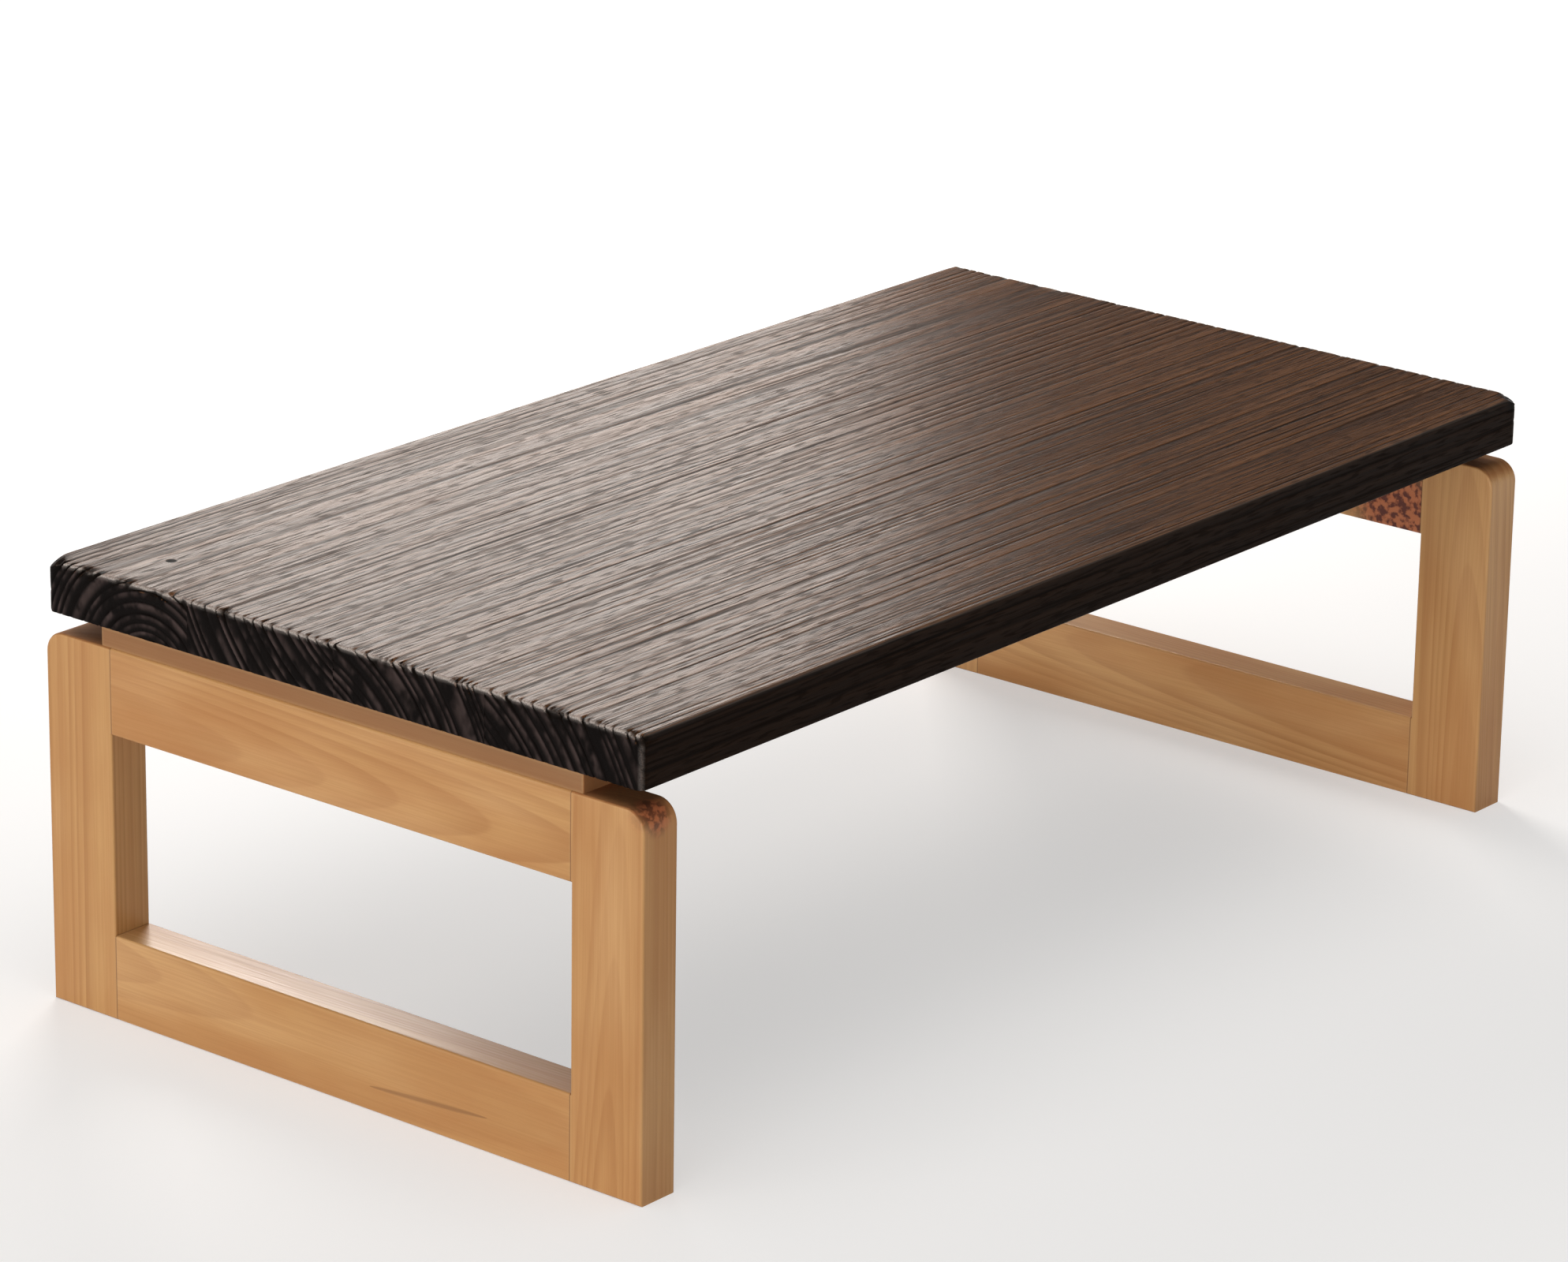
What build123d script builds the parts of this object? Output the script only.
"""Folding chabudai: a thick edge-glued top on two rectangular leg frames.

Millimetres, +Z up.  X runs along the table, Y across it.  The origin is on the
floor, under the middle of the table.  "left" is -X, "right" is +X, "front" is -Y
and "back" is +Y.  Each leg frame folds inwards and up about a pivot in two steel
brackets, and a spring-loaded latch in each bracket holds it open or folded.
"""

from build123d import *
import os

os.makedirs("parts", exist_ok=True)

# ---- Table top -------------------------------------------------------------
top_length = 900.0
top_width = 480.0
top_thickness = 34.0
top_corner_radius = 5.0  # seen from above
top_edge_radius = 2.5
bottom_edge_radius = 1.5
board_count = 4

# ---- Leg frames ------------------------------------------------------------
frame_height = 244.0
frame_depth = 30.0  # along the table
frame_overhang = 2.0  # each post stands this far outside the top's long side
post_width = 55.0
rail_height = 56.0
frame_corner_radius = 14.0
frame_edge_radius = 1.5

# ---- Battens between the top and the leg frames ----------------------------
batten_thickness = 12.0
batten_overlap = 8.0  # each end runs this far past the frame's window
batten_setback = 1.5  # from the frame's outer face
batten_edge_radius = 0.8

# ---- Dowels in the frame joints --------------------------------------------
dowel_diameter = 8.0
dowel_length = 40.0
dowel_spacing = 28.0
dowel_chamfer = 0.8
dowel_end_gap = 1.0  # glue space at each end
dowel_fit = 0.05

# ---- Folding brackets ------------------------------------------------------
sheet = 2.0  # thickness of the pressed steel
pivot_inset = 16.0  # from the frame's inner face
pivot_drop = 12.0  # below the top's underside
bracket_end_gap = 50.0  # from the end of the window to the bracket's middle
cheek_gap = 0.5  # between the leg plate's cheek and the base's cheek
base_cheek_inside = 14.0  # half the distance between the base's cheeks
base_cheek_radius = 13.5
base_length = 60.0
base_end_gap = 2.0  # from the frame's inner face to the base plate
base_corner_radius = 4.0
base_bend_radius = 1.2
leg_plate_width = 56.0
leg_plate_height = 26.0
leg_plate_drop = 4.0  # its upper edge below the pivot
leg_plate_corner_radius = 3.0
leg_cheek_boss_radius = 6.0
leg_cheek_foot_radius = 5.0
lug_width = 14.0
lug_reach = 5.0  # past the latch stem's axis

# ---- Pivot rivets ----------------------------------------------------------
rivet_diameter = 5.0
rivet_seat_fit = 0.03
rivet_running_fit = 0.06
rivet_head_radius = 4.5
rivet_head_height = 1.6
rivet_head_round = 1.2

# ---- Latches ---------------------------------------------------------------
latch_pin_diameter = 4.0
latch_engaged_radius = 11.0  # pivot to pin, pin in a notch
latch_clearance = 0.3  # pin to cheek when it is pulled out
notch_fit = 0.3
slot_fit = 0.15
pin_end_proud = 2.0  # past the base's cheek
pin_end_round = 0.6
collar_radius = 3.6
collar_thickness = 1.0
stem_diameter = 4.0
stem_fit = 0.25
knob_radius = 4.5
knob_length = 7.0
knob_round = 1.4
knob_gap = 2.0  # knob to lug when the pin is in a notch

# ---- Latch springs ---------------------------------------------------------
spring_length = 9.2  # with the latch pulled out
spring_wire = 0.8
spring_mean_radius = 2.85
spring_turns = 6.0
spring_end_fit = 0.05

# ---- Screws ----------------------------------------------------------------
screw_diameter = 3.5
screw_fit = 0.05
screw_point_length = 3.0
screw_point_radius = 0.3
pilot_extra = 0.5
pan_head_radius = 3.4
pan_head_height = 2.2
pan_head_round = 1.4
flat_head_radius = 3.6
flat_head_height = 2.2
plate_screw_length = 18.0
batten_screw_length = 30.0
plate_hole_fit = 0.25
base_screw_rows = (24.0, 38.0)  # from the pivot, along the table
base_screw_spread = 18.0
leg_screw_inset = 6.0  # from the leg plate's sides
leg_screw_spacing = 14.0

# ---- Derived places --------------------------------------------------------
underside = frame_height + batten_thickness
frame_width = top_width + 2 * frame_overhang
window_half = frame_width / 2 - post_width
frame_outer = -top_length / 2  # the left frame's outer face
frame_inner = frame_outer + frame_depth
pivot_x = frame_inner + pivot_inset
pivot_z = underside - pivot_drop
bracket_y = window_half - bracket_end_gap
plate_face = underside - sheet
leg_face = frame_inner + sheet
pin_radius = latch_pin_diameter / 2
stem_radius = stem_diameter / 2
rivet_radius = rivet_diameter / 2
latch_released_radius = base_cheek_radius + latch_clearance + pin_radius
latch_travel = latch_released_radius - latch_engaged_radius
collar_bottom = pivot_z - latch_released_radius - pin_radius - collar_thickness
lug_top = collar_bottom - spring_length
base_cheek_outside = base_cheek_inside + sheet
leg_cheek_outside = base_cheek_inside - cheek_gap
leg_cheek_inside = leg_cheek_outside - sheet


def block(x_range, y_range, z_range):
    """A box between two corners."""
    size = [high - low for low, high in (x_range, y_range, z_range)]
    corner = (x_range[0], y_range[0], z_range[0])
    return Pos(*corner) * Box(*size, align=Align.MIN)


def rod(start, direction, radius, length):
    """A cylinder from a point, along a direction."""
    return Plane(origin=start, z_dir=direction) * Cylinder(
        radius, length, align=(Align.CENTER, Align.CENTER, Align.MIN)
    )


def across(shape_2d, y_low, y_high):
    """A flat shape in X and Z, thickened between two heights in Y."""
    sketch = Plane(origin=(0, y_low, 0), x_dir=(1, 0, 0), z_dir=(0, -1, 0)) * shape_2d
    return extrude(sketch, amount=-(y_high - y_low))


# ---- Screws ----------------------------------------------------------------
def shank(length):
    """The pointed shank of a wood screw, below z = 0."""
    straight = length - screw_point_length
    body = rod((0, 0, -straight), (0, 0, 1), screw_diameter / 2, straight)
    point = Pos(0, 0, -length) * Cone(
        screw_point_radius,
        screw_diameter / 2,
        screw_point_length,
        align=(Align.CENTER, Align.CENTER, Align.MIN),
    )
    return body + point


def pan_screw():
    """A pan-head screw that bears on z = 0."""
    head = rod((0, 0, 0), (0, 0, 1), pan_head_radius, pan_head_height)
    head = fillet(head.edges().sort_by(Axis.Z)[-1], pan_head_round)
    return head + shank(plate_screw_length)


def flat_screw():
    """A countersunk screw whose head is level with z = 0."""
    head = Pos(0, 0, -flat_head_height) * Cone(
        screw_diameter / 2,
        flat_head_radius,
        flat_head_height,
        align=(Align.CENTER, Align.CENTER, Align.MIN),
    )
    return head + Pos(0, 0, -flat_head_height) * shank(
        batten_screw_length - flat_head_height
    )


def drill(length, fit=screw_fit):
    """What a screw of that length cuts below z = 0."""
    return rod((0, 0, -length - pilot_extra), (0, 0, 1), screw_diameter / 2 + fit, length + pilot_extra)


def base_screw_planes():
    """Where the base plate's screws bear, on the left table end at y = 0."""
    return [
        Plane(origin=(pivot_x + row, side * base_screw_spread / 2, plate_face), z_dir=(0, 0, -1))
        for row in base_screw_rows
        for side in (-1, 1)
    ]


def leg_screw_planes():
    """Where the leg plate's screws bear, on the left leg frame at y = 0."""
    middle = pivot_z - leg_plate_drop - leg_plate_height / 2
    reach = leg_plate_width / 2 - leg_screw_inset
    return [
        Plane(origin=(leg_face, side * reach, middle + up * leg_screw_spacing / 2), z_dir=(1, 0, 0))
        for up in (-1, 1)
        for side in (-1, 1)
    ]


def batten_screw_planes():
    """Where the left batten's screws sit, one in the middle of each board."""
    board_width = top_width / board_count
    middle = (frame_outer + batten_setback + frame_inner) / 2
    places = [(n + 0.5) * board_width - top_width / 2 for n in range(board_count)]
    return [Plane(origin=(middle, y, frame_height), z_dir=(0, 0, -1)) for y in places]


# ---- The folding bracket, on the left leg frame at y = 0 -------------------
def notch(direction):
    """The slot in the base's cheek that the latch pin drops into."""
    half = pin_radius + notch_fit
    deep = Vector(*direction) * latch_engaged_radius
    far = Vector(*direction) * (base_cheek_radius + half)
    return SlotCenterPoint((deep + far) * 0.5, far, 2 * half).face()


def bracket_base():
    """Flat plate under the top with two round ears, notched below and inboard."""
    width = 2 * base_cheek_radius
    ear = Circle(base_cheek_radius) + Rectangle(width, pivot_drop, align=(Align.CENTER, Align.MIN))
    ear -= Pos(0, pivot_drop) * Rectangle(width, width, align=(Align.CENTER, Align.MIN))
    ear -= Circle(rivet_radius + rivet_seat_fit)
    for direction in ((0, -1), (1, 0)):
        ear -= notch(direction)
    ear = Pos(pivot_x, pivot_z) * ear
    plate = block(
        (frame_inner + base_end_gap, frame_inner + base_end_gap + base_length),
        (-base_cheek_outside, base_cheek_outside),
        (plate_face, underside),
    )
    plate = fillet(plate.edges().filter_by(Axis.Z).group_by(Axis.X)[-1], base_corner_radius)
    plate += across(ear, base_cheek_inside, base_cheek_outside)
    plate += across(ear, -base_cheek_outside, -base_cheek_inside)
    bends = plate.edges().filter_by(Axis.X).group_by(Axis.Z)[-1]
    plate = fillet(bends, base_bend_radius)
    for place in base_screw_planes():
        plate -= place * drill(sheet, plate_hole_fit)
    return plate


def leg_plate():
    """Flat plate on the rail with two slotted ears and a lug for the latch stem."""
    low = pivot_z - leg_plate_drop - leg_plate_height
    plate = block(
        (frame_inner, leg_face),
        (-leg_plate_width / 2, leg_plate_width / 2),
        (low, pivot_z - leg_plate_drop),
    )
    plate = fillet(plate.edges().filter_by(Axis.X), leg_plate_corner_radius)
    boss = Circle(leg_cheek_boss_radius)
    foot = Pos(0, -latch_released_radius) * Circle(leg_cheek_foot_radius)
    root = Polyline(
        (sheet - pivot_inset, -leg_plate_drop),
        (0, leg_cheek_boss_radius),
        (leg_cheek_boss_radius, 0),
        (leg_cheek_foot_radius, -latch_released_radius),
        (0, -latch_released_radius - leg_cheek_foot_radius),
        (sheet - pivot_inset, -latch_released_radius - leg_cheek_foot_radius),
        close=True,
    )
    ear = boss + foot + make_face(root)
    ear -= Circle(rivet_radius + rivet_running_fit)
    ear -= SlotCenterPoint(
        (0, -(latch_engaged_radius + latch_released_radius) / 2),
        (0, -latch_released_radius - slot_fit),
        2 * (pin_radius + slot_fit),
    ).face()
    ear = Pos(pivot_x, pivot_z) * ear
    plate += across(ear, leg_cheek_inside, leg_cheek_outside)
    plate += across(ear, -leg_cheek_outside, -leg_cheek_inside)
    lug = block(
        (frame_inner, pivot_x + lug_reach),
        (-lug_width / 2, lug_width / 2),
        (lug_top - sheet, lug_top),
    )
    lug = fillet(lug.edges().filter_by(Axis.Z).group_by(Axis.X)[-1], lug_reach - sheet / 2)
    lug += block((frame_inner, leg_face), (-lug_width / 2, lug_width / 2), (lug_top - sheet, low + sheet))
    lug -= rod((pivot_x, 0, lug_top - 2 * sheet), (0, 0, 1), stem_radius + stem_fit, 3 * sheet)
    plate += lug
    for place in leg_screw_planes():
        plate -= place * drill(sheet, plate_hole_fit)
    return plate


def pivot_rivet():
    """The pivot: a shank through all four ears, with a domed head at each end."""
    half = base_cheek_outside
    rivet = rod((pivot_x, -half, pivot_z), (0, 1, 0), rivet_radius, 2 * half)
    for side in (-1, 1):
        head = rod((pivot_x, side * half, pivot_z), (0, side, 0), rivet_head_radius, rivet_head_height)
        edges = head.edges().sort_by(Axis.Y)
        rivet += fillet(edges[-1 if side > 0 else 0], rivet_head_round)
    return rivet


def latch():
    """Cross pin, stem, collar and knob, drawn pulled out of the notch."""
    pin_z = pivot_z - latch_released_radius
    half = base_cheek_outside + pin_end_proud
    pin = rod((pivot_x, -half, pin_z), (0, 1, 0), pin_radius, 2 * half)
    pin = fillet(pin.edges().filter_by(GeomType.CIRCLE), pin_end_round)
    knob_top = lug_top - sheet - knob_gap - latch_travel
    down = (0, 0, -1)
    stem = rod((pivot_x, 0, pin_z), down, stem_radius, pin_z - knob_top + knob_length / 2)
    collar = rod((pivot_x, 0, collar_bottom + collar_thickness), down, collar_radius, collar_thickness)
    neck = rod((pivot_x, 0, pin_z), down, stem_radius, pin_radius + collar_thickness)
    knob = rod((pivot_x, 0, knob_top), down, knob_radius, knob_length)
    knob = fillet(knob.edges().filter_by(GeomType.CIRCLE), knob_round)
    return pin + stem + neck + collar + knob


def latch_spring():
    """Round-wire compression spring between the lug and the latch's collar."""
    wire_radius = spring_wire / 2
    rise = spring_length - spring_wire - 2 * spring_end_fit
    path = Helix(rise / spring_turns, rise, spring_mean_radius)
    profile = Plane(origin=path @ 0, z_dir=path % 0) * Circle(wire_radius)
    start = lug_top + wire_radius + spring_end_fit
    return Pos(pivot_x, 0, start) * sweep(profile, path=path)


# ---- Wooden pieces ---------------------------------------------------------
def top_boards():
    """The top as one slab, rounded and drilled, then sawn at its glue lines."""
    slab = extrude(
        Plane.XY.offset(underside) * RectangleRounded(top_length, top_width, top_corner_radius),
        amount=top_thickness,
    )
    slab = fillet(slab.faces().sort_by(Axis.Z)[0].edges(), bottom_edge_radius)
    slab = fillet(slab.faces().sort_by(Axis.Z)[-1].edges(), top_edge_radius)
    drilled = [place * drill(batten_screw_length) for place in batten_screw_planes()]
    for y in (-bracket_y, bracket_y):
        drilled += [Pos(0, y, 0) * place * drill(plate_screw_length) for place in base_screw_planes()]
    for cut in drilled:
        slab -= cut
        slab -= mirror(cut, about=Plane.YZ)
    width = top_width / board_count
    boards = []
    for n in range(board_count):
        low = n * width - top_width / 2
        sawn = block((-top_length, top_length), (low, low + width), (0, underside + 2 * top_thickness))
        boards.append(slab & sawn)
    return boards


def batten():
    """The left batten, with countersunk holes for its screws."""
    half = window_half + batten_overlap
    bar = block((frame_outer + batten_setback, frame_inner), (-half, half), (frame_height, underside))
    ends = bar.edges().filter_by(Axis.Z)
    bar = fillet(ends, batten_edge_radius)
    for place in batten_screw_planes():
        sink = Pos(0, 0, -flat_head_height) * Cone(
            screw_diameter / 2 + screw_fit,
            flat_head_radius + screw_fit,
            flat_head_height,
            align=(Align.CENTER, Align.CENTER, Align.MIN),
        )
        bar -= place * (drill(batten_screw_length) + sink)
    return bar


def dowel_places():
    """Start points of the dowels in one frame, which lie along Y over each seam."""
    x = (frame_outer + frame_inner) / 2
    rails = (rail_height / 2, frame_height - rail_height / 2)
    heights = [z + up * dowel_spacing / 2 for z in rails for up in (-1, 1)]
    return [
        (x, side * window_half - dowel_length / 2, z) for side in (-1, 1) for z in heights
    ]


def dowel(start, radius, length, bevel):
    """A dowel along Y, with bevelled ends."""
    peg = rod(start, (0, 1, 0), radius, length)
    return chamfer(peg.edges().filter_by(GeomType.CIRCLE), bevel) if bevel else peg


def frame_pieces():
    """The left leg frame made whole, rounded and drilled, then sawn at its seams."""
    outline = Rectangle(frame_width, frame_height, align=(Align.CENTER, Align.MIN))
    outline = fillet(outline.vertices().group_by(Axis.Y)[-1], frame_corner_radius)
    window = Pos(0, rail_height) * Rectangle(
        2 * window_half, frame_height - 2 * rail_height, align=(Align.CENTER, Align.MIN)
    )
    ring = extrude(Plane.YZ.offset(frame_outer) * (outline - window), amount=frame_depth)
    faces = ring.faces().sort_by(Axis.X)
    ring = fillet(faces[0].edges() + faces[-1].edges(), frame_edge_radius)
    for x, y, z in dowel_places():
        start = (x, y - dowel_end_gap, z)
        ring -= dowel(start, dowel_diameter / 2 + dowel_fit, dowel_length + 2 * dowel_end_gap, 0)
    for y in (-bracket_y, bracket_y):
        for place in leg_screw_planes():
            ring -= Pos(0, y, 0) * place * drill(plate_screw_length)
    middle = frame_height / 2
    spans = {
        "front_post": ((-frame_width, -window_half), (-middle, 3 * middle)),
        "back_post": ((window_half, frame_width), (-middle, 3 * middle)),
        "top_rail": ((-window_half, window_half), (middle, 3 * middle)),
        "bottom_rail": ((-window_half, window_half), (-middle, middle)),
    }
    depth = (frame_outer - frame_depth, frame_inner + frame_depth)
    return {name: ring & block(depth, y, z) for name, (y, z) in spans.items()}


def frame_dowels():
    return Compound([
        dowel(start, dowel_diameter / 2, dowel_length, dowel_chamfer) for start in dowel_places()
    ])


# ---- Assembly --------------------------------------------------------------
def at_brackets(make_screw, planes):
    """One set of screws at each of the left end's two brackets."""
    return [
        Pos(0, y, 0) * place * make_screw() for y in (-bracket_y, bracket_y) for place in planes
    ]


def both_ends(solids):
    """Those solids at the left end and their mirror images at the right end."""
    return Compound(solids + [mirror(s, about=Plane.YZ) for s in solids])


def model():
    parts = {f"top_board_{n + 1}": board for n, board in enumerate(top_boards())}
    left = {"batten": batten(), "frame_dowels": frame_dowels(), **frame_pieces()}
    left["leg_plate_screws"] = Compound(at_brackets(pan_screw, leg_screw_planes()))
    bracket = {
        "bracket_base": bracket_base(),
        "leg_plate": leg_plate(),
        "pivot_rivet": pivot_rivet(),
        "latch": latch(),
        "latch_spring": latch_spring(),
    }
    for side, y in (("front", -bracket_y), ("back", bracket_y)):
        left.update({f"{side}_{name}": Pos(0, y, 0) * piece for name, piece in bracket.items()})
    for name, piece in left.items():
        parts["left_" + name] = piece
        parts["right_" + name] = mirror(piece, about=Plane.YZ)
    parts["batten_screws"] = both_ends([place * flat_screw() for place in batten_screw_planes()])
    parts["bracket_base_screws"] = both_ends(at_brackets(pan_screw, base_screw_planes()))
    return parts


for node, shape in model().items():
    export_step(shape, f"parts/{node}.step")
